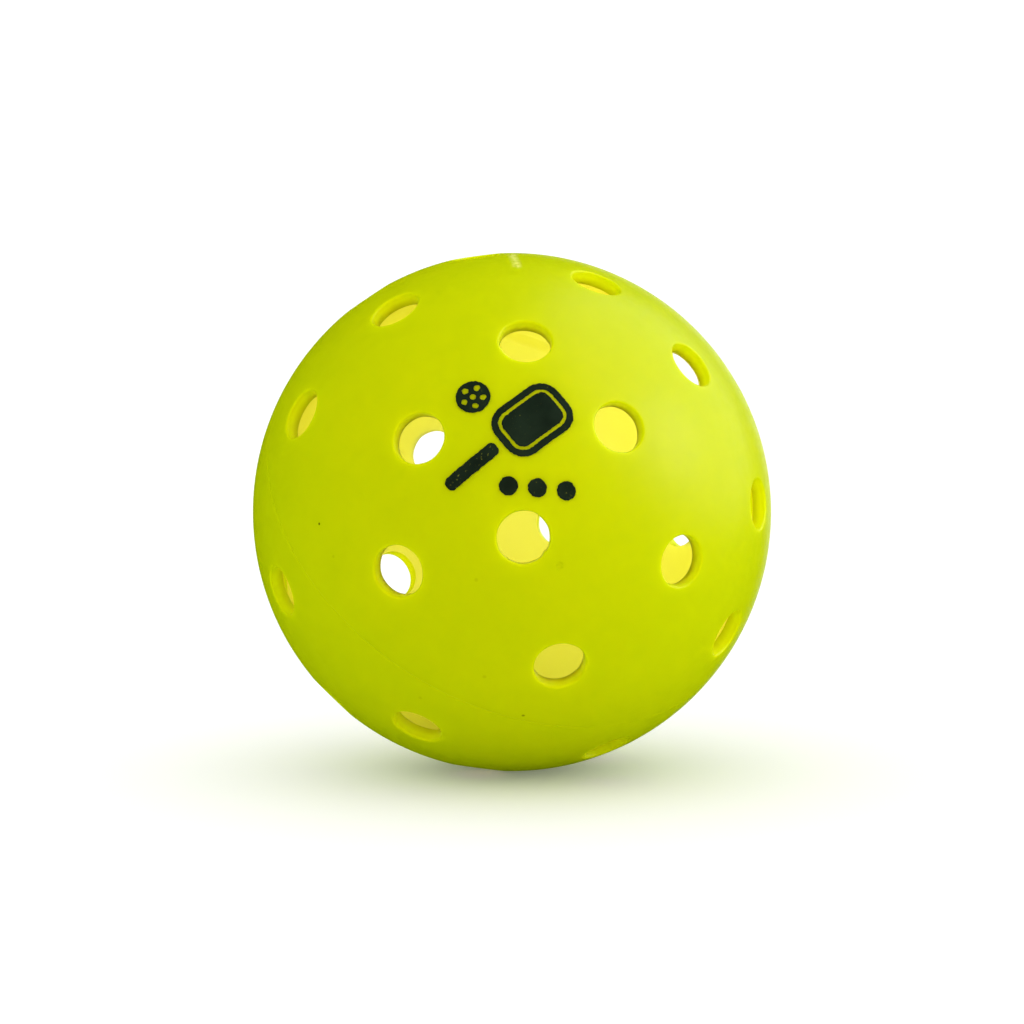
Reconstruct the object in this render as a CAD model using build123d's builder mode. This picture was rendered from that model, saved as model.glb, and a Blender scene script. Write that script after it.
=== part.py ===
"""Pickleball: a hollow perforated ball made of two moulded half shells, joined by a weld bead at the
seam, with a printed mark in ink on its front. Millimetres and degrees, +Z up, origin at the centre.

The ball stands with its print towards -Y. The moulding axis, through the crown of each half shell,
leans away from +Z, so the seam runs round the ball at a slant, as a ball that was put down lies.
"""

from build123d import *
import math
import os

# ---------------------------------------------------------------- the ball
BALL_DIAMETER = 74.0
WALL = 1.95
HOLE_DIAMETER = 7.0
MOUTH_RADIUS = 0.3  # rounding of a hole's outer edge
INNER_EDGE_RADIUS = 0.15  # rounding of a hole's inner edge

OUTER_RADIUS = BALL_DIAMETER / 2
INNER_RADIUS = OUTER_RADIUS - WALL
HOLE_RADIUS = HOLE_DIAMETER / 2

# ---------------------------------------------------------------- the moulding axis
POLE_LEAN = 48.3  # from +Z to the upper half's crown
POLE_HEADING = -59.0  # the direction of that lean, from +X
POLE_TURN = -103.8  # turn of the hole pattern about the moulding axis


# ---------------------------------------------------------------- the holes
def quarters(first):
    """Azimuths of four equally spaced holes."""
    return tuple(first + 90 * step for step in range(4))


# Each half shell has five rings of four holes. Each line is an angle from the crown and the azimuths
# of the holes at that angle, in the half shell's own seam plane. The holes are not quite regular: some
# stray from their quarter turns and some from their ring, and those have a line of their own. The two
# halves' patterns differ and are turned against each other.
UPPER_RINGS = (
    (20.0, (0, 86.5, 186)),
    (23.0, (268,)),
    (48.6, (23.7, 113.7, 203.7)),
    (51.0, (293.7,)),
    (49.2, (64.5, 244.5)),
    (50.8, (155.5, 333.5)),
    (70.8, (44, 314)),
    (73.2, (134.5,)),
    (68.0, (220,)),
    (72.9, (86, 176, 266)),
    (74.4, (355.2,)),
)
LOWER_RINGS = (
    (21.8, quarters(-18.4)),
    (51.2, quarters(-43.3)),
    (52.9, quarters(-0.3)),
    (73.4, quarters(-66.0)),
    (76.6, (72.5, 162.5, 247.8, 337.8)),
)

# ---------------------------------------------------------------- the joint at the seam
SEAM_EDGE = 0.1  # small edge break that shows outside as the seam line
WELD_LEG = 0.6  # bevel on the inner edge of each rim, filled by the weld bead
WELD_RISE = 0.35  # how far the bead stands proud of the inner surface
TONGUE_RADIUS = 36.3  # middle of the tongue, in the flat land of the rim
TONGUE_WIDTH = 0.6
TONGUE_HEIGHT = 0.5
TONGUE_SPAN = 70.0
TONGUE_AZIMUTHS = (45.0, 225.0)
GROOVE_AZIMUTHS = (135.0, 315.0)  # where the other half's tongues come when it is turned over
GROOVE_CLEARANCE = 0.05
GROOVE_SPAN = TONGUE_SPAN + 1.0

# ---------------------------------------------------------------- the print
INK_THICKNESS = 0.05
PRINT_ELEVATION = 20.3  # of the print's middle above the horizontal, as seen from the ball's centre
PRINT_HEADING = -91.0
PRINT_TILT = -3.0
PADDLE_ANGLE = 42.0
FACE_LENGTH = 10.4
FACE_WIDTH = 7.8
FACE_CORNER = 2.7
FACE_MIDDLE = 4.2  # from the print's middle, along the paddle
INLAY_GAP = 0.9  # unprinted line inside the paddle's edge
INLAY_LINE = 0.45
HANDLE_LENGTH = 8.4
HANDLE_WIDTH = 1.9
HANDLE_MIDDLE = -6.0
MARK_BALL_RADIUS = 2.3
MARK_BALL_PLACE = (-4.9, 5.6)
MARK_BALL_HOLE = 0.42
MARK_BALL_RING = 1.35
DOT_RADIUS = 1.25
DOT_PITCH = 3.8
DOTS_PLACE = (4.3, -6.4)


# ---------------------------------------------------------------- planes
UPPER_SEAM = Plane(Rot(Z=POLE_HEADING) * Rot(Y=POLE_LEAN) * Rot(Z=POLE_TURN))
LOWER_SEAM = Plane(UPPER_SEAM.location * Rot(X=180))
PRINT_PLANE = Plane(Rot(Z=PRINT_HEADING + 90) * Rot(X=90 - PRINT_ELEVATION) * Rot(Z=PRINT_TILT))


def meridian(seam, azimuth=0.0):
    """The plane through the moulding axis at an azimuth: x runs outwards, y along the axis."""
    return Plane(seam.location * Rot(Z=azimuth) * Rot(X=90))


# ---------------------------------------------------------------- the half shells
def asin_degrees(ratio):
    return math.degrees(math.asin(ratio))


RIM_ANGLE = asin_degrees(SEAM_EDGE / OUTER_RADIUS)
BEVEL_ANGLE = asin_degrees(WELD_LEG / INNER_RADIUS)
BEVEL_TIP = (INNER_RADIUS + WELD_LEG, 0)


def shell_section(seam):
    """The half shell's section from rim to crown."""
    with BuildSketch(meridian(seam)) as section:
        with BuildLine():
            outer = CenterArc((0, 0), OUTER_RADIUS, RIM_ANGLE, 90 - RIM_ANGLE)
            inner = CenterArc((0, 0), INNER_RADIUS, BEVEL_ANGLE, 90 - BEVEL_ANGLE)
            Line(outer @ 1, inner @ 1)
            Polyline(inner @ 0, BEVEL_TIP, (OUTER_RADIUS - SEAM_EDGE, 0), outer @ 0)
        make_face()
    return section.sketch


def rim_section(seam, azimuth, width, low, high):
    """The rectangular section of a tongue or a groove, at the azimuth where it starts."""
    with BuildSketch(meridian(seam, azimuth)) as section:
        with Locations((TONGUE_RADIUS, (low + high) / 2)):
            Rectangle(width, high - low)
    return section.sketch


def half_shell(seam, rings):
    """One half of the ball: a dome over its seam plane, with tongues, grooves and holes."""
    axis = Axis(seam.origin, seam.z_dir)
    groove_width = TONGUE_WIDTH + 2 * GROOVE_CLEARANCE
    groove_depth = TONGUE_HEIGHT + GROOVE_CLEARANCE
    with BuildPart(seam) as half:
        revolve(shell_section(seam), axis=axis)

        for middle in TONGUE_AZIMUTHS:
            start = middle - TONGUE_SPAN / 2
            tongue = rim_section(seam, start, TONGUE_WIDTH, -TONGUE_HEIGHT, 0)
            revolve(tongue, axis=axis, revolution_arc=TONGUE_SPAN)
        for middle in GROOVE_AZIMUTHS:
            start = middle - GROOVE_SPAN / 2
            groove = rim_section(seam, start, groove_width, 0, groove_depth)
            revolve(groove, axis=axis, revolution_arc=GROOVE_SPAN, mode=Mode.SUBTRACT)

        for polar, azimuths in rings:
            with Locations(*[Rot(Z=azimuth) * Rot(Y=polar) for azimuth in azimuths]):
                Cylinder(
                    HOLE_RADIUS,
                    OUTER_RADIUS + 1,
                    align=(Align.CENTER, Align.CENTER, Align.MIN),
                    mode=Mode.SUBTRACT,
                )
        round_hole_edges(half)
    return half


def round_hole_edges(half):
    """Rounds every hole's outer and inner edge. Outer edges lie further from the ball's centre."""
    circles = half.edges().filter_by(GeomType.CIRCLE)
    edges = circles.filter_by(lambda edge: abs(edge.radius - HOLE_RADIUS) < 0.01)
    middle = (OUTER_RADIUS + INNER_RADIUS) / 2
    fillet(edges.filter_by(lambda edge: edge.arc_center.length > middle), MOUTH_RADIUS)
    fillet(edges.filter_by(lambda edge: edge.arc_center.length < middle), INNER_EDGE_RADIUS)


os.makedirs("parts", exist_ok=True)

for name, seam, rings in (
    ("half_shell_upper", UPPER_SEAM, UPPER_RINGS),
    ("half_shell_lower", LOWER_SEAM, LOWER_RINGS),
):
    shell = half_shell(seam, rings)
    shell.part.label = name
    export_step(shell.part, f"parts/{name}.step")

# ---------------------------------------------------------------- the weld bead
# It fills the V between the two bevelled rims and stands a little proud of the inner surface.
with BuildPart() as weld_bead:
    with BuildSketch(meridian(UPPER_SEAM)):
        with BuildLine():
            upper_toe = Vector(INNER_RADIUS, 0).rotate(Axis.Z, BEVEL_ANGLE)
            lower_toe = Vector(INNER_RADIUS, 0).rotate(Axis.Z, -BEVEL_ANGLE)
            ThreePointArc(upper_toe, (INNER_RADIUS - WELD_RISE, 0), lower_toe)
            Polyline(upper_toe, BEVEL_TIP, lower_toe)
        make_face()
    revolve(axis=Axis(UPPER_SEAM.origin, UPPER_SEAM.z_dir))
weld_bead.part.label = "weld_bead"
export_step(weld_bead.part, "parts/weld_bead.step")


# ---------------------------------------------------------------- the print
def wrap_on_ball():
    """Turns the drawn outline into a film of ink that lies on the ball's outer surface."""
    extrude(amount=OUTER_RADIUS + 1)
    Sphere(OUTER_RADIUS + INK_THICKNESS, mode=Mode.INTERSECT)
    Sphere(OUTER_RADIUS, mode=Mode.SUBTRACT)


with BuildPart() as print_paddle:
    with BuildSketch(PRINT_PLANE):
        with Locations(Rot(Z=PADDLE_ANGLE)):
            with Locations((FACE_MIDDLE, 0)):
                RectangleRounded(FACE_LENGTH, FACE_WIDTH, FACE_CORNER)
                RectangleRounded(
                    FACE_LENGTH - 2 * INLAY_GAP,
                    FACE_WIDTH - 2 * INLAY_GAP,
                    FACE_CORNER - INLAY_GAP,
                    mode=Mode.SUBTRACT,
                )
                RectangleRounded(
                    FACE_LENGTH - 2 * (INLAY_GAP + INLAY_LINE),
                    FACE_WIDTH - 2 * (INLAY_GAP + INLAY_LINE),
                    FACE_CORNER - INLAY_GAP - INLAY_LINE,
                )
    wrap_on_ball()
print_paddle.part.label = "print_paddle_face"
export_step(print_paddle.part, "parts/print_paddle_face.step")

with BuildPart() as print_handle:
    with BuildSketch(PRINT_PLANE):
        with Locations(Rot(Z=PADDLE_ANGLE)):
            with Locations((HANDLE_MIDDLE, 0)):
                RectangleRounded(HANDLE_LENGTH, HANDLE_WIDTH, HANDLE_WIDTH * 0.4)
    wrap_on_ball()
print_handle.part.label = "print_paddle_handle"
export_step(print_handle.part, "parts/print_paddle_handle.step")

with BuildPart() as print_ball:
    with BuildSketch(PRINT_PLANE):
        with Locations(MARK_BALL_PLACE):
            Circle(MARK_BALL_RADIUS)
            Circle(MARK_BALL_HOLE, mode=Mode.SUBTRACT)
            with PolarLocations(MARK_BALL_RING, 5):
                Circle(MARK_BALL_HOLE, mode=Mode.SUBTRACT)
    wrap_on_ball()
print_ball.part.label = "print_ball"
export_step(print_ball.part, "parts/print_ball.step")

with BuildPart() as print_dots:
    with BuildSketch(PRINT_PLANE):
        with Locations(DOTS_PLACE):
            with GridLocations(DOT_PITCH, 0, 3, 1):
                Circle(DOT_RADIUS)
    wrap_on_ball()
print_dots.part.label = "print_dots"
export_step(print_dots.part, "parts/print_dots.step")
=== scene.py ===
"""The pickleball's looks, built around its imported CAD. Metres, +Z up, origin at the ball's centre.

Lengths below are in millimetres and angles in degrees, as on a drawing, unless a comment says metres.
Meshes are drawn in millimetres and scaled to metres when they become objects.
"""

import math

import bpy
import numpy as np
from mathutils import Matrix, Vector
from mathutils.geometry import delaunay_2d_cdt


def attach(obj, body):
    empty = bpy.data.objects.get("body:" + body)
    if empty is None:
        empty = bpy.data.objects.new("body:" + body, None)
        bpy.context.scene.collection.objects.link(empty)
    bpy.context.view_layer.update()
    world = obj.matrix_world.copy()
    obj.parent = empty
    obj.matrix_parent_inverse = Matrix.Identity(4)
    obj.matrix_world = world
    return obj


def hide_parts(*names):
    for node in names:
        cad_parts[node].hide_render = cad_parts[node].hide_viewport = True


# ---------------------------------------------------------------- the ball, as in the CAD
OUTER_RADIUS = 37.0
INNER_RADIUS = 35.05
HOLE_RADIUS = 3.5
MOUTH_RADIUS = 0.3
INNER_EDGE_RADIUS = 0.15
POLE_LEAN = 48.3
POLE_HEADING = -59.0
POLE_TURN = -103.8


def quarters(first):
    """Azimuths of four equally spaced holes."""
    return tuple(first + 90 * step for step in range(4))


# Each line is an angle from the half shell's crown and the azimuths of its holes at that angle.
UPPER_RINGS = (
    (20.0, (0, 86.5, 186)),
    (23.0, (268,)),
    (48.6, (23.7, 113.7, 203.7)),
    (51.0, (293.7,)),
    (49.2, (64.5, 244.5)),
    (50.8, (155.5, 333.5)),
    (70.8, (44, 314)),
    (73.2, (134.5,)),
    (68.0, (220,)),
    (72.9, (86, 176, 266)),
    (74.4, (355.2,)),
)
LOWER_RINGS = (
    (21.8, quarters(-18.4)),
    (51.2, quarters(-43.3)),
    (52.9, quarters(-0.3)),
    (73.4, quarters(-66.0)),
    (76.6, (72.5, 162.5, 247.8, 337.8)),
)

# ---------------------------------------------------------------- the print, as in the CAD
PRINT_ELEVATION = 20.3
PRINT_HEADING = -91.0
PRINT_TILT = -3.0
PADDLE_ANGLE = 42.0
FACE_LENGTH = 10.4
FACE_WIDTH = 7.8
FACE_CORNER = 2.7
FACE_MIDDLE = 4.2
INLAY_GAP = 0.9
INLAY_LINE = 0.45
HANDLE_LENGTH = 8.4
HANDLE_WIDTH = 1.9
HANDLE_CORNER = 0.4  # share of its width
HANDLE_MIDDLE = -6.0
MARK_BALL_RADIUS = 2.3
MARK_BALL_PLACE = (-4.9, 5.6)
MARK_BALL_HOLE = 0.42
MARK_BALL_RING = 1.35
MARK_BALL_HOLES = 5  # round the middle one
DOT_RADIUS = 1.25
DOT_PITCH = 3.8
DOTS_PLACE = (4.3, -6.4)

INK_TOP = 0.035
INK_FOOT = -0.01
INK_STEP = 0.14  # spacing of points along a printed edge
INK_GRID = 0.5  # spacing of points inside the print
INK_RAGGED = 0.035

# ---------------------------------------------------------------- the seam and the holes' edges
NOTCH_HALF_WIDTH = 0.12  # what is left of the seam outside
NOTCH_DEPTH = 0.06
NOTCH_UNEVEN = 0.35  # share of its depth
BEAD_HALF_WIDTH = 1.2  # the remelted bead inside the seam has flowed out flat
BEAD_RISE = 0.22
BEAD_UNEVEN = 0.3  # share of its rise
BEAD_DRIFT = 0.12  # how far its crest wanders from the seam
BEAD_STEPS = 9  # rings of points from one of its edges to the other
EDGE_UNEVEN = 0.05  # of the holes' edges
BURR_HEIGHT = 0.2
BURR_WIDTH = 6.0  # degrees round the hole
BURRS = {5: 67.8, 8: 171.3}  # number of a hole in the upper half, and where on its edge

# ---------------------------------------------------------------- small marks of use
# Places on the ball are a heading from the front (-Y) towards +X, and an elevation.
# The dimple is a real hollow, bumped into the surface. Its colour is also darkened as painted shade.
DIMPLE = (9.9, -6.1)
DIMPLE_RADIUS = 0.5
DIMPLE_DEPTH = 0.12
DIMPLE_PAINTED_SHADE = 0.25
SPECKS = (
    # heading, elevation, radius, how dark
    (-44.5, 1.1, 0.20, 0.85),
    (3.2, -43.0, 0.24, 0.6),
    (-40.6, -5.5, 0.22, 0.15),
    (-7.4, -9.0, 0.26, 0.15),
    (-6.7, -31.5, 0.28, 0.15),
    (-25.3, -38.3, 0.28, 0.15),
)
SCUFF = ((-0.4, 83.2), (3.6, 71.6))
SCUFF_WIDTH = 0.8
SCUFF_STRENGTH = 0.5
SPOT_EDGE = (0.6, 1.2)  # shares of a spot's radius over which it fades out

# ---------------------------------------------------------------- how finely it is meshed
HOLE_SEGMENTS = 96
RIM_SEGMENTS = 288
SKIN_SPACING = 1.1
SKIN_GAP = 0.5  # between the skin's loose points and the rings of points below
HOLE_GRADING = (0.35, 0.85)  # extra rings of points round each hole, from its edge
RIM_GRADING = (0.1, 0.6)  # and along the seam
CREASE = 40  # degrees between faces that show as an edge

# ---------------------------------------------------------------- the plastic and the ink
# Distances from the ball's centre, in metres, over which one look of the plastic turns into the next.
INSIDE_TO_BORE = (0.03506, 0.03515)
BORE_TO_SKIN = (0.0362, 0.0368)
SCATTER_RANGE = (0.0352, 0.0368)
SCATTER_DEPTH = (0.025, 0.004)  # metres, at the two ends of that range
SCATTER_RADIUS = (1.0, 0.9, 0.37)  # how far red, green and blue go, as shares of that depth

# The inside's colours are painted glow: the same plastic, painted paler and brighter than the skin for
# light that shines through the wall and bounces round inside.
INSIDE_PAINTED_GLOW_COLOURS = ((0.725, 0.638, 0.025, 1), (0.765, 0.668, 0.032, 1))
# The bores' colours are painted lighter than the skin's, painted light that lifts the shade inside the
# holes.
BORE_PAINTED_LIGHTER_COLOURS = ((0.44, 0.60, 0.001, 1), (0.48, 0.625, 0.0012, 1))
SKIN_COLOURS = ((0.375, 0.492, 0.0006, 1), (0.405, 0.512, 0.0008, 1))
CLOUDY_COLOUR = (0.35, 0.470, 0.0006, 1)
SPECK_COLOUR = (0.012, 0.018, 0.0005, 1)
# Painted shade: the darker green painted into the dimple's hollow.
DIMPLE_SHADE_COLOUR = (0.25, 0.36, 0.0006, 1)
SCUFF_COLOUR = (0.85, 0.9, 0.35, 1)
INK_COLOURS = ((0.003, 0.010, 0.005, 1), (0.006, 0.017, 0.009, 1))
PINHOLE_COLOUR = (0.22, 0.27, 0.01, 1)
FLOOR_COLOURS = ((0.93, 0.93, 0.93, 1), (0.95, 0.95, 0.95, 1))

# ---------------------------------------------------------------- the light, in metres and watts
WORLD_AROUND = 1.2
WORLD_OVERHEAD = 1.05
WORLD_FADE = (0.3, 1.0)  # heights of a direction, 1 straight up, over which the first turns into the second
FLOOR_REACH = 4.0  # from the middle to each side
FLOOR_GLOW = 0.12
WHITE = (1.0, 1.0, 1.0)
LAMPS = (
    # name, place, diameter, power, colour, whether it shows as a reflection
    ("key", (0.774, 0.188, 0.605), 1.73, 6.0, WHITE, True),
    ("core", (0.89, -0.10, 0.44), 0.5, 1.2, WHITE, True),
    ("backdrop", (0.20, 1.15, -0.02), 0.65, 1.0, WHITE, True),
    ("side", (0.80, -0.50, 0.45), 0.5, 1.4, (1.0, 0.85, 0.6), False),
    ("fill", (0.20, -1.10, 0.30), 0.8, 7.5, (1.0, 0.44, 0.12), False),
)

# ---------------------------------------------------------------- the camera
CAMERA_DISTANCE = 429.2
CAMERA_ELEVATION = 5.0
CAMERA_LENS = 105.3  # on a 36 mm sensor

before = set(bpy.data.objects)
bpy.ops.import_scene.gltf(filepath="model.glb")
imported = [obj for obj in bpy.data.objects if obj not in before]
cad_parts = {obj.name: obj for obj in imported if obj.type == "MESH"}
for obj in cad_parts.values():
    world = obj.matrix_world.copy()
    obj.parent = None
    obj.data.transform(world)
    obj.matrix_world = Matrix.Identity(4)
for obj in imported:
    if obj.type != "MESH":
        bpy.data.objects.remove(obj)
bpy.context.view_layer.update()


# ---------------------------------------------------------------- turning and placing
def turn(axis, angle):
    """Rotation matrix about x, y or z."""
    cos, sin = math.cos(math.radians(angle)), math.sin(math.radians(angle))
    return np.array(
        {
            "x": [[1, 0, 0], [0, cos, -sin], [0, sin, cos]],
            "y": [[cos, 0, sin], [0, 1, 0], [-sin, 0, cos]],
            "z": [[cos, -sin, 0], [sin, cos, 0], [0, 0, 1]],
        }[axis]
    )


UPPER_SEAM = turn("z", POLE_HEADING) @ turn("y", POLE_LEAN) @ turn("z", POLE_TURN)
PRINT_FACE = turn("z", PRINT_HEADING + 90) @ turn("x", 90 - PRINT_ELEVATION) @ turn("z", PRINT_TILT)
CROWN = np.array([0.0, 0.0, 1.0])


def hole_axes(rings):
    """Unit directions of a half shell's holes, in its own seam frame."""
    angles = [(polar, azimuth) for polar, azimuths in rings for azimuth in azimuths]
    return [turn("z", azimuth) @ turn("y", polar) @ CROWN for polar, azimuth in angles]


def across(axis):
    """Two unit vectors square to an axis and to each other."""
    first = np.cross(axis, [0.0, 0.0, 1.0] if abs(axis[2]) < 0.9 else [1.0, 0.0, 0.0])
    first /= np.linalg.norm(first)
    return first, np.cross(axis, first)


def ring_about(axis, height, radius):
    """Points of a circle square to an axis. The radius is a number, or one for each point."""
    radius = np.asarray(radius, float)
    count = len(radius) if radius.ndim else HOLE_SEGMENTS
    around = np.arange(count) * 2 * math.pi / count
    first, second = across(axis)
    spokes = np.cos(around)[:, None] * first + np.sin(around)[:, None] * second
    return np.asarray(height)[..., None] * axis + np.broadcast_to(radius, count)[:, None] * spokes


def wavy(count, seed, waves=9):
    """A smooth closed line of random height between about -1 and 1, as count values."""
    draw = np.random.default_rng(seed)
    around = np.arange(count) * 2 * math.pi / count
    orders = np.arange(1, waves + 1)
    heights = draw.normal(size=waves) / np.sqrt(orders)
    starts = draw.uniform(0, 2 * math.pi, waves)
    line = (heights * np.cos(np.outer(around, orders) + starts)).sum(1)
    return line / 2.2  # which keeps it between about -1 and 1


# ---------------------------------------------------------------- meshes in the making
class Skin:
    """Points in millimetres and the faces between them. New points are drawn in its current frame."""

    def __init__(self):
        self.points = []
        self.faces = []
        self.frame = np.eye(3)

    def add(self, points):
        """Adds points and returns their numbers."""
        start = len(self.points)
        self.points.extend(np.asarray(points, float) @ self.frame.T)
        return np.arange(start, len(self.points))

    def strip(self, first, second):
        """Quads between two closed loops of as many points, first one to the outside."""
        a, b = np.roll(first, -1), np.roll(second, -1)
        self.faces.extend(zip(first, a, b, second))

    def thing(self, name, seam, material, nodes):
        """The finished piece, turned from its own frame into the ball's, in place of its CAD nodes."""
        mesh = bpy.data.meshes.new(name)
        points = np.array(self.points) @ seam.T / 1000
        mesh.from_pydata(points.tolist(), [], [tuple(int(i) for i in face) for face in self.faces])
        mesh.update()
        mesh.shade_smooth()
        mesh.set_sharp_from_angle(angle=math.radians(CREASE))
        mesh.materials.append(material)
        piece = bpy.data.objects.new(name, mesh)
        bpy.context.scene.collection.objects.link(piece)
        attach(piece, "root")
        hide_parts(*nodes)
        return piece


def triangles(points, loops):
    """Delaunay triangles of points in a plane, with the loops' sides kept as edges."""
    sides = [(int(a), int(b)) for loop in loops for a, b in zip(loop, np.roll(loop, -1))]
    found = delaunay_2d_cdt([Vector(p) for p in points], sides, [], 0, 1e-9)
    origin = [ids[0] for ids in found[3]]
    return np.array([[origin[i] for i in face] for face in found[2]])


# ---------------------------------------------------------------- the shells' two surfaces
def spiral(limit):
    """Evenly scattered unit directions from the crown down to an angle."""
    area_each = SKIN_SPACING**2 * 0.87  # of a point in an even triangular grid
    depth = 1 - math.cos(math.radians(limit))
    count = int(2 * math.pi * depth * OUTER_RADIUS**2 / area_each)
    step = np.arange(count) + 0.5
    height = 1 - depth * step / count
    around = step * math.pi * (3 - math.sqrt(5))
    flat = np.sqrt(1 - height**2)
    return np.column_stack([flat * np.cos(around), flat * np.sin(around), height])


def circle_on_cap(axis, angle, count=HOLE_SEGMENTS):
    """Unit directions at an angle from an axis."""
    angle = math.radians(angle)
    return ring_about(axis, math.cos(angle), np.full(count, math.sin(angle)))


def cap(axes, hole_angle, rim_angle):
    """Directions and triangles of a cap that ends at rim_angle from its crown and leaves the holes out.
    Returns them with the numbers of the points on the rim and on each hole's edge."""
    per_mm = math.degrees(1 / OUTER_RADIUS)
    groups = [circle_on_cap(CROWN, rim_angle, RIM_SEGMENTS)]
    groups += [circle_on_cap(axis, hole_angle) for axis in axes]
    groups += [circle_on_cap(CROWN, rim_angle - gap * per_mm, RIM_SEGMENTS) for gap in RIM_GRADING]
    groups += [circle_on_cap(axis, hole_angle + gap * per_mm) for axis in axes for gap in HOLE_GRADING]
    loose = spiral(rim_angle - (RIM_GRADING[-1] + SKIN_GAP) * per_mm)
    clear = math.cos(math.radians(hole_angle + (HOLE_GRADING[-1] + SKIN_GAP) * per_mm))
    groups.append(loose[(loose @ np.array(axes).T < clear).all(1)])
    starts = np.cumsum([0] + [len(group) for group in groups])
    loops = [np.arange(starts[i], starts[i + 1]) for i in range(1 + len(axes))]
    directions = np.vstack(groups)

    # Seen from the pole below, circles on the ball stay circles, so even triangles stay even.
    flat = directions[:, :2] / (1 + directions[:, 2:])
    faces = triangles(flat, loops)
    middles = directions[faces].mean(1)
    middles /= np.linalg.norm(middles, axis=1)[:, None]
    open_to = math.cos(math.radians(hole_angle * 0.999))
    faces = faces[(middles @ np.array(axes).T < open_to).all(1)]
    return directions, faces, loops


def mouth_profile():
    """A hole's section from the outer surface to the inner one: distance from the hole's axis, height
    along it, and how much of the edge's unevenness each point takes."""
    outer_foot = HOLE_RADIUS + MOUTH_RADIUS
    inner_foot = HOLE_RADIUS + INNER_EDGE_RADIUS
    high = math.sqrt((OUTER_RADIUS - MOUTH_RADIUS) ** 2 - outer_foot**2)
    low = math.sqrt((INNER_RADIUS + INNER_EDGE_RADIUS) ** 2 - inner_foot**2)
    outer_start = math.atan2(high, outer_foot)
    inner_end = math.pi + math.atan2(low, inner_foot)
    profile = []
    for share in np.linspace(0, 1, 7)[1:]:
        angle = outer_start + share * (math.pi - outer_start)
        away = HOLE_RADIUS + MOUTH_RADIUS * (1 + math.cos(angle))
        profile.append((away, high + MOUTH_RADIUS * math.sin(angle), share))
    profile.append((HOLE_RADIUS, (high + low) / 2, 1.0))
    for share in np.linspace(0, 1, 5)[:-1]:
        angle = math.pi + share * (inner_end - math.pi)
        away = HOLE_RADIUS + INNER_EDGE_RADIUS * (1 + math.cos(angle))
        profile.append((away, low + INNER_EDGE_RADIUS * math.sin(angle), 1 - share))
    outer_angle = math.degrees(math.atan2(outer_foot, high))
    inner_angle = math.degrees(math.atan2(inner_foot, low))
    return profile, outer_angle, inner_angle


def burr(place):
    """How far a burr pushes a hole's edge inwards, for each point round the hole."""
    around = np.arange(HOLE_SEGMENTS) * 360 / HOLE_SEGMENTS
    away = (around - place + 180) % 360 - 180
    return BURR_HEIGHT * np.exp(-((away / BURR_WIDTH) ** 2))


def half_shell(skin, rings, burrs, seed):
    """Adds one half of the ball to the skin. Returns its outer and inner rims, still open."""
    axes = hole_axes(rings)
    profile, outer_angle, inner_angle = mouth_profile()
    outer_rim = 90 - math.degrees(NOTCH_HALF_WIDTH / OUTER_RADIUS)
    inner_rim = 90 - math.degrees(BEAD_HALF_WIDTH / INNER_RADIUS)

    directions, faces, outer_loops = cap(axes, outer_angle, outer_rim)
    outside = skin.add(directions * OUTER_RADIUS)
    skin.faces.extend(outside[faces])

    directions, faces, inner_loops = cap(axes, inner_angle, inner_rim)
    inside = skin.add(directions * INNER_RADIUS)
    skin.faces.extend(inside[faces][:, ::-1])

    for number, axis in enumerate(axes):
        uneven = EDGE_UNEVEN * wavy(HOLE_SEGMENTS, seed + number)
        if number in burrs:
            uneven = uneven - burr(burrs[number])
        last = outside[outer_loops[1 + number]]
        for radius, height, share in profile:
            loop = skin.add(ring_about(axis, height, radius + share * uneven))
            skin.strip(last, loop)
            last = loop
        skin.strip(last, inside[inner_loops[1 + number]])
    return outside[outer_loops[0]], inside[inner_loops[0]]


def welded_shells(material):
    """Both half shells as one welded skin: a fine uneven notch along the seam outside, the bead inside."""
    skin = Skin()
    upper_outer, upper_inner = half_shell(skin, UPPER_RINGS, BURRS, seed=100)
    skin.frame = turn("x", 180)
    lower_outer, lower_inner = half_shell(skin, LOWER_RINGS, {}, seed=200)
    skin.frame = np.eye(3)

    # Turned over, the lower half's rim points run the other way round from the far side.
    match = (RIM_SEGMENTS // 2 - np.arange(RIM_SEGMENTS)) % RIM_SEGMENTS
    lower_outer, lower_inner = lower_outer[match], lower_inner[match]
    depth = NOTCH_DEPTH * (1 + NOTCH_UNEVEN * wavy(RIM_SEGMENTS, seed=61, waves=60))
    notch = skin.add(ring_about(CROWN, 0.0, OUTER_RADIUS - depth))
    skin.strip(notch, upper_outer)
    skin.strip(lower_outer, notch)

    rise = BEAD_RISE * (1 + BEAD_UNEVEN * wavy(RIM_SEGMENTS, seed=71, waves=40))
    drift = BEAD_DRIFT * wavy(RIM_SEGMENTS, seed=72, waves=24)
    last = upper_inner
    for share in np.linspace(1, -1, BEAD_STEPS)[1:-1]:
        height = BEAD_HALF_WIDTH * share + drift * (1 - share**2)
        loop = skin.add(ring_about(CROWN, height, INNER_RADIUS - rise * (1 - share**2)))
        skin.strip(last, loop)
        last = loop
    skin.strip(last, lower_inner)
    nodes = ["half_shell_upper", "half_shell_lower", "weld_bead"]
    return skin.thing("welded_half_shells", UPPER_SEAM, material, nodes)


# ---------------------------------------------------------------- the print
def rounded_rectangle(length, width, corner, middle):
    """Outline of a piece of the paddle, which lies along its own x axis, turned by the paddle's angle."""
    points = []
    for quarter, (sx, sy) in enumerate(((1, 1), (-1, 1), (-1, -1), (1, -1))):
        centre = np.array([sx * (length / 2 - corner), sy * (width / 2 - corner)])
        for angle in np.radians(np.linspace(90 * quarter, 90 * quarter + 90, 9)):
            points.append(centre + corner * np.array([math.cos(angle), math.sin(angle)]))
    return (np.array(points) + [middle, 0]) @ turn("z", PADDLE_ANGLE)[:2, :2].T


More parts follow.
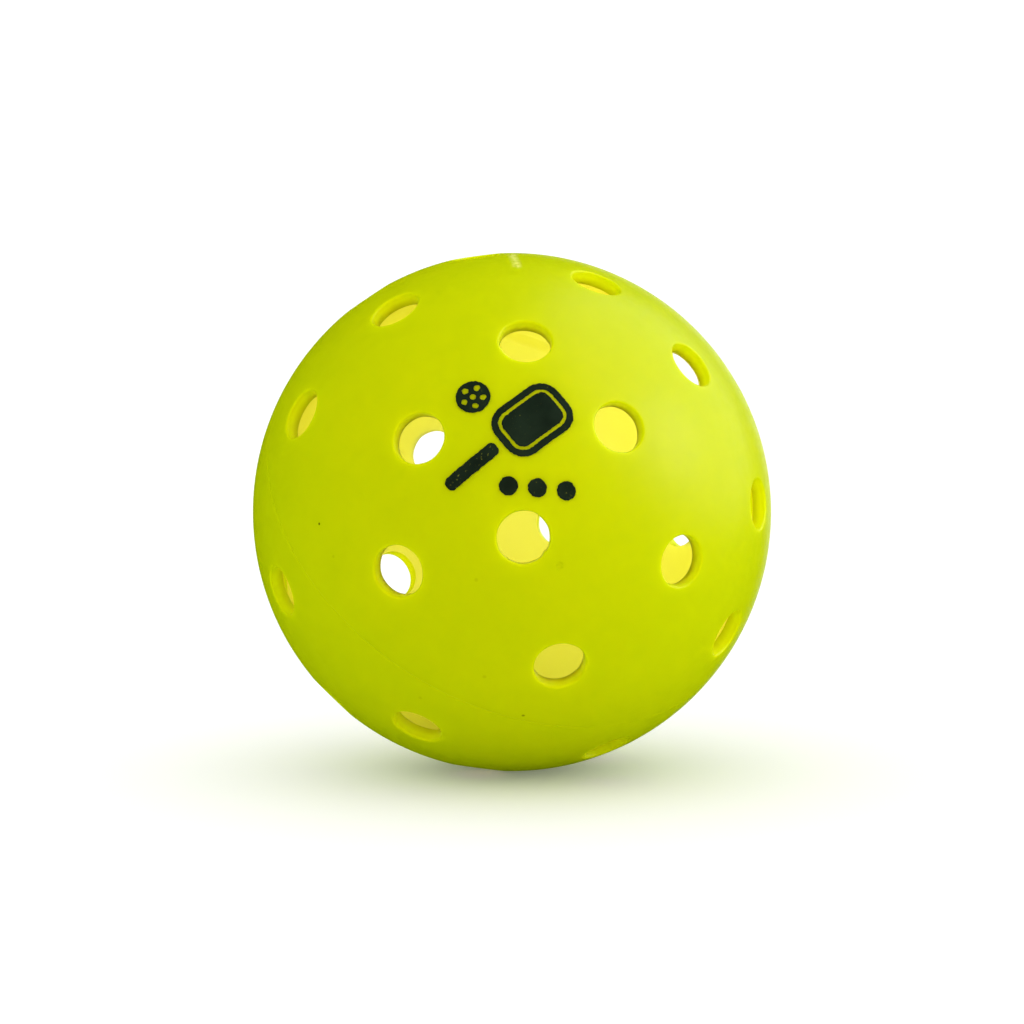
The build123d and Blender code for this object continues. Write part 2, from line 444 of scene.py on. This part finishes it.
def circle_outline(x, y, radius):
    """Outline of a round part of the print."""
    around = np.linspace(0, 2 * math.pi, 49)[:-1]
    return np.column_stack([x + radius * np.cos(around), y + radius * np.sin(around)])


def ragged(outline, seed):
    """The outline with evenly spaced points, pushed in and out a little as ink creeps."""
    closed = np.vstack([outline, outline[:1]])
    lengths = np.concatenate([[0], np.cumsum(np.linalg.norm(np.diff(closed, axis=0), axis=1))])
    count = max(16, int(lengths[-1] / INK_STEP))
    along = np.arange(count) * lengths[-1] / count
    points = np.column_stack([np.interp(along, lengths, closed[:, i]) for i in (0, 1)])
    side = np.roll(points, -1, 0) - np.roll(points, 1, 0)
    side /= np.linalg.norm(side, axis=1)[:, None]
    draw = np.random.default_rng(seed)

    # Each point shares part of the push of the one before, or the edge would look sawn.
    push = draw.normal(size=count)
    push = (push + np.roll(push, 1) * 0.7) * INK_RAGGED * 0.6
    return points + push[:, None] * np.column_stack([side[:, 1], -side[:, 0]])


def within(points, outlines):
    """Whether each point lies in the ink: inside an odd number of outlines."""
    odd = np.zeros(len(points), bool)
    for outline in outlines:
        ahead = np.roll(outline, -1, 0)
        for (x0, y0), (x1, y1) in zip(outline, ahead):
            crosses = (y0 > points[:, 1]) != (y1 > points[:, 1])
            with np.errstate(divide="ignore", invalid="ignore"):
                at = x0 + (points[:, 1] - y0) * (x1 - x0) / (y1 - y0)
            odd ^= crosses & (points[:, 0] < at)
    return odd


def on_ball(points, lift):
    """Points of the print's plane, carried straight onto the ball and lifted off it."""
    height = np.sqrt(OUTER_RADIUS**2 - (points**2).sum(1))
    return np.column_stack([points, height]) * (1 + lift / OUTER_RADIUS)


def printed(name, outlines, seed, material, node):
    """A film of ink with these outlines, nested ones being gaps."""
    outlines = [ragged(outline, seed + number) for number, outline in enumerate(outlines)]
    edge = np.vstack(outlines)
    low, high = edge.min(0), edge.max(0)
    ticks = [np.arange(a, b, INK_GRID) for a, b in zip(low, high)]
    grid = np.stack(np.meshgrid(*ticks), -1).reshape(-1, 2)
    far = ((grid[:, None] - edge[None]) ** 2).sum(-1).min(1) > (0.6 * INK_GRID) ** 2
    points = np.vstack([edge, grid[far & within(grid, outlines)]])
    starts = np.cumsum([0] + [len(outline) for outline in outlines])
    loops = [np.arange(a, b) for a, b in zip(starts, starts[1:])]
    faces = triangles(points, loops)
    faces = faces[within(points[faces].mean(1), outlines)]
    skin = Skin()
    top = skin.add(on_ball(points, INK_TOP))
    foot = skin.add(on_ball(points, INK_FOOT))
    skin.faces.extend(top[faces])
    skin.faces.extend(foot[faces][:, ::-1])
    for number, loop in enumerate(loops):
        inner = within(points[loop[:1]] + 1e-4, outlines[:number] + outlines[number + 1 :])[0]
        loop = loop[::-1] if inner else loop
        skin.strip(foot[loop], top[loop])
    return skin.thing(name, PRINT_FACE, material, [node])


def face_outline(inset):
    """Outline of the paddle's face, drawn in from its edge."""
    return rounded_rectangle(
        FACE_LENGTH - 2 * inset, FACE_WIDTH - 2 * inset, FACE_CORNER - inset, FACE_MIDDLE
    )


def print_pictogram(material):
    """A paddle, a ball and three dots."""
    face = [face_outline(inset) for inset in (0, INLAY_GAP, INLAY_GAP + INLAY_LINE)]
    film = [printed("print_paddle_face_look", face, 300, material, "print_paddle_face")]
    corner = HANDLE_WIDTH * HANDLE_CORNER
    handle = [rounded_rectangle(HANDLE_LENGTH, HANDLE_WIDTH, corner, HANDLE_MIDDLE)]
    film.append(printed("print_paddle_handle_look", handle, 310, material, "print_paddle_handle"))

    x, y = MARK_BALL_PLACE
    ball = [circle_outline(x, y, MARK_BALL_RADIUS), circle_outline(x, y, MARK_BALL_HOLE)]
    for angle in np.radians(np.arange(MARK_BALL_HOLES) * 360 / MARK_BALL_HOLES):
        place = x + MARK_BALL_RING * math.cos(angle), y + MARK_BALL_RING * math.sin(angle)
        ball.append(circle_outline(*place, MARK_BALL_HOLE))
    film.append(printed("print_ball_look", ball, 320, material, "print_ball"))

    x, y = DOTS_PLACE
    dots = [circle_outline(x + step * DOT_PITCH, y, DOT_RADIUS) for step in (-1, 0, 1)]
    film.append(printed("print_dots_look", dots, 330, material, "print_dots"))
    return film


# ---------------------------------------------------------------- materials
class Nodes:
    """A material with its Principled shader, and short ways to add nodes to it."""

    def __init__(self, name, **constants):
        self.material = bpy.data.materials.new(name)
        self.material.use_nodes = True
        self.tree = self.material.node_tree
        self.shader = self.tree.nodes["Principled BSDF"]
        for socket, value in constants.items():
            self.shader.inputs[socket.replace("_", " ")].default_value = value

    def node(self, kind, settings=None, **inputs):
        """A node with its settings and inputs. An input's name is its number after a _, or its label."""
        made = self.tree.nodes.new(kind)
        for name, value in (settings or {}).items():
            setattr(made, name, value)
        for name, value in inputs.items():
            socket = made.inputs[int(name[1:])] if name[0] == "_" else made.inputs[name.replace("_", " ")]
            if isinstance(value, bpy.types.NodeSocket):
                self.tree.links.new(value, socket)
            else:
                socket.default_value = value
        return made

    def vector(self, operation, **inputs):
        """A node of vector arithmetic."""
        return self.node("ShaderNodeVectorMath", {"operation": operation}, **inputs)

    def product(self, first, second):
        """One value times another."""
        return self.node("ShaderNodeMath", {"operation": "MULTIPLY"}, _0=first, _1=second).outputs[0]

    def place(self):
        """Object coordinates: metres from the ball's centre."""
        return self.node("ShaderNodeTexCoord").outputs["Object"]

    def noise(self, size_mm, detail=2.0, roughness=0.5):
        """Noise between 0 and 1 whose blobs are about size_mm across."""
        settings = {"Scale": 1000 / size_mm, "Detail": detail, "Roughness": roughness}
        return self.node("ShaderNodeTexNoise", None, Vector=self.place(), **settings).outputs["Fac"]

    def span(self, value, low, high, to_low=0.0, to_high=1.0):
        """value from low..high to to_low..to_high, and no further."""
        limits = {"_1": low, "_2": high, "_3": to_low, "_4": to_high}
        return self.node("ShaderNodeMapRange", None, _0=value, **limits).outputs[0]

    def mix(self, share, first, second):
        """The first colour where the share is 0, and the second where it is 1."""
        made = self.node("ShaderNodeMix", {"data_type": "RGBA"}, _0=share, _6=first, _7=second)
        return made.outputs[2]

    def bump(self, height, distance_mm, strength=1.0, under=None):
        """Normals of a relief, over those of another one."""
        depth = distance_mm / 1000
        made = self.node("ShaderNodeBump", None, Height=height, Distance=depth, Strength=strength)
        if under:
            self.tree.links.new(under, made.inputs["Normal"])
        return made.outputs["Normal"]

    def feed(self, socket, value):
        """Links a value to a socket of the shader."""
        self.tree.links.new(value, self.shader.inputs[socket])


def on_outside(heading, elevation):
    """A place on the ball's outer surface, in metres."""
    point = turn("z", heading) @ turn("x", -elevation) @ [0, -OUTER_RADIUS / 1000, 0]
    return tuple(float(value) for value in point)


def spot(m, place, radius_mm):
    """1 in a round spot, 0 outside it, with a soft edge."""
    away = m.vector("DISTANCE", _0=m.place(), _1=on_outside(*place)).outputs["Value"]
    start, end = (share * radius_mm / 1000 for share in SPOT_EDGE)
    return m.span(away, start, end, 1.0, 0.0)


def streak(m, places, width_mm):
    """1 along the line between two places, 0 away from it, broken up by noise."""
    start, end = (Vector(on_outside(*place)) for place in places)
    along = end - start
    offset = m.vector("SUBTRACT", _0=m.place(), _1=start).outputs[0]
    share = m.vector("DOT_PRODUCT", _0=offset, _1=along).outputs["Value"]
    foot = m.vector("SCALE", _0=along, Scale=m.span(share, 0.0, along.length_squared)).outputs[0]
    away = m.vector("DISTANCE", _0=offset, _1=foot).outputs["Value"]
    line = m.span(away, 0.0, width_mm / 1000, 1.0, 0.0)
    return m.product(line, m.span(m.noise(0.8), 0.35, 0.55))


def marked(m, skin, dimple):
    """The skin's colour with its specks, painted shade in its dimple, and its scuff."""
    for heading, elevation, radius, darkness in SPECKS:
        speck = m.product(spot(m, (heading, elevation), radius), darkness)
        skin = m.mix(speck, skin, SPECK_COLOUR)
    # Painted shade in the dimple's hollow.
    skin = m.mix(m.span(dimple, 0, 1, 0, DIMPLE_PAINTED_SHADE), skin, DIMPLE_SHADE_COLOUR)
    scuff = streak(m, SCUFF, SCUFF_WIDTH)
    return m.mix(m.span(scuff, 0, 1, 0, SCUFF_STRENGTH), skin, SCUFF_COLOUR)


def shell_material():
    """Satin, translucent polyethylene: optic yellow-green outside, painted a little lighter in the bores as
    painted light against their shade, and painted a pale, bright yellow inside as painted glow, where light
    also goes deeper before it comes back."""
    m = Nodes(
        "optic_polyethylene",
        Subsurface_Weight=1.0,
        Subsurface_Radius=SCATTER_RADIUS,
        IOR=1.5,
        Specular_IOR_Level=0.3,
    )
    length = m.vector("LENGTH", _0=m.place()).outputs["Value"]
    m.feed("Subsurface Scale", m.span(length, *SCATTER_RANGE, *SCATTER_DEPTH))

    broad = m.span(m.noise(22), 0.3, 0.7)
    cloudy = m.span(m.noise(3.2, 3), 0.35, 0.75, 0.0, 0.3)
    dimple = spot(m, DIMPLE, DIMPLE_RADIUS)
    skin = m.mix(cloudy, m.mix(broad, *SKIN_COLOURS), CLOUDY_COLOUR)
    skin = marked(m, skin, dimple)
    # The bores are painted lighter than the skin, painted light against the shade in the holes.
    skin = m.mix(m.span(length, *BORE_TO_SKIN), m.mix(broad, *BORE_PAINTED_LIGHTER_COLOURS), skin)
    # Painted glow: the inside is painted paler and brighter than the skin.
    inside = m.mix(broad, *INSIDE_PAINTED_GLOW_COLOURS)
    m.feed("Base Color", m.mix(m.span(length, *INSIDE_TO_BORE), inside, skin))

    m.feed("Roughness", m.span(m.noise(1.4, 3), 0.3, 0.7, 0.30, 0.40))
    fine = m.bump(m.noise(0.55, 3, 0.6), 0.006, 0.6)
    soft = m.bump(m.noise(4.0, 1), 0.03, 0.5, fine)
    m.feed("Normal", m.bump(m.span(dimple, 0, 1, 1, 0), DIMPLE_DEPTH, 1.0, soft))
    return m.material


def ink_material():
    """Near-black green printing ink with fine pinholes that let the plastic through."""
    m = Nodes("printing_ink", IOR=1.4, Specular_IOR_Level=0.15)
    dark = m.mix(m.span(m.noise(3.0), 0.3, 0.7), *INK_COLOURS)
    pinholes = m.span(m.noise(0.3, 2, 0.6), 0.66, 0.74, 0.0, 0.6)
    worn = m.span(m.noise(4.0), 0.42, 0.62)
    m.feed("Base Color", m.mix(m.product(pinholes, worn), dark, PINHOLE_COLOUR))
    m.feed("Roughness", m.span(m.noise(0.5), 0.3, 0.7, 0.38, 0.52))
    m.feed("Normal", m.bump(m.noise(0.25), 0.01, 0.6))
    return m.material


# ---------------------------------------------------------------- the studio
def surroundings():
    """White all round, a little less bright overhead. The ball doesn't reflect it."""
    world = bpy.data.worlds.new("studio")
    bpy.context.scene.world = world
    world.use_nodes = True
    world.cycles_visibility.glossy = False
    nodes, links = world.node_tree.nodes, world.node_tree.links
    background = nodes["Background"]
    background.inputs["Color"].default_value = (*WHITE, 1)
    height = nodes.new("ShaderNodeSeparateXYZ")
    links.new(nodes.new("ShaderNodeTexCoord").outputs["Generated"], height.inputs[0])
    ceiling = nodes.new("ShaderNodeMapRange")
    for socket, value in zip(ceiling.inputs[1:5], (*WORLD_FADE, WORLD_AROUND, WORLD_OVERHEAD)):
        socket.default_value = value
    links.new(height.outputs["Z"], ceiling.inputs[0])
    links.new(ceiling.outputs[0], background.inputs["Strength"])


def white_floor():
    """The matt floor that the ball stands on."""
    level = -OUTER_RADIUS / 1000
    corners = [(x * FLOOR_REACH, y * FLOOR_REACH, level) for x, y in ((-1, -1), (1, -1), (1, 1), (-1, 1))]
    ground = bpy.data.meshes.new("floor")
    ground.from_pydata(corners, [], [(0, 1, 2, 3)])
    floor = bpy.data.objects.new("floor", ground)
    bpy.context.scene.collection.objects.link(floor)
    glow = {"Emission_Color": (*WHITE, 1), "Emission_Strength": FLOOR_GLOW}
    paint = Nodes("floor_paint", Roughness=0.9, Specular_IOR_Level=0.1, **glow)
    paint.feed("Base Color", paint.mix(paint.noise(60), *FLOOR_COLOURS))
    ground.materials.append(paint.material)
    floor.visible_glossy = False


def softbox(name, place, size, power, colour, reflected, lit):
    """A round lamp turned to the ball. It lights only the objects of one collection."""
    lamp = bpy.data.lights.new(name, "AREA")
    lamp.shape = "DISK"
    lamp.size = size
    lamp.energy = power
    lamp.color = colour
    holder = bpy.data.objects.new(name, lamp)
    holder.location = place
    holder.rotation_mode = "QUATERNION"
    holder.rotation_quaternion = (-Vector(place)).to_track_quat("-Z", "Y")
    holder.visible_glossy = reflected
    holder.light_linking.receiver_collection = lit
    bpy.context.scene.collection.objects.link(holder)


def camera():
    """Looks at the ball's centre from the front and a little above."""
    elevation = math.radians(CAMERA_ELEVATION)
    lens = bpy.data.cameras.new("camera")
    lens.lens = CAMERA_LENS
    lens.clip_start = 0.01
    holder = bpy.data.objects.new("camera", lens)
    away = Vector((0, -math.cos(elevation), math.sin(elevation)))
    holder.location = away * (CAMERA_DISTANCE / 1000)
    holder.rotation_euler = (math.radians(90 - CAMERA_ELEVATION), 0, 0)
    bpy.context.scene.collection.objects.link(holder)
    bpy.context.scene.camera = holder


def studio(pieces):
    """White floor and surroundings, and a big soft light from the upper right."""
    bpy.context.scene.view_settings.view_transform = "Standard"
    surroundings()
    white_floor()
    ball = bpy.data.collections.new("ball")
    for piece in pieces:
        ball.objects.link(piece)
    for lamp in LAMPS:
        softbox(*lamp, lit=ball)
    camera()


# ---------------------------------------------------------------- the scene
pieces = [welded_shells(shell_material())]
pieces += print_pictogram(ink_material())
studio(pieces)
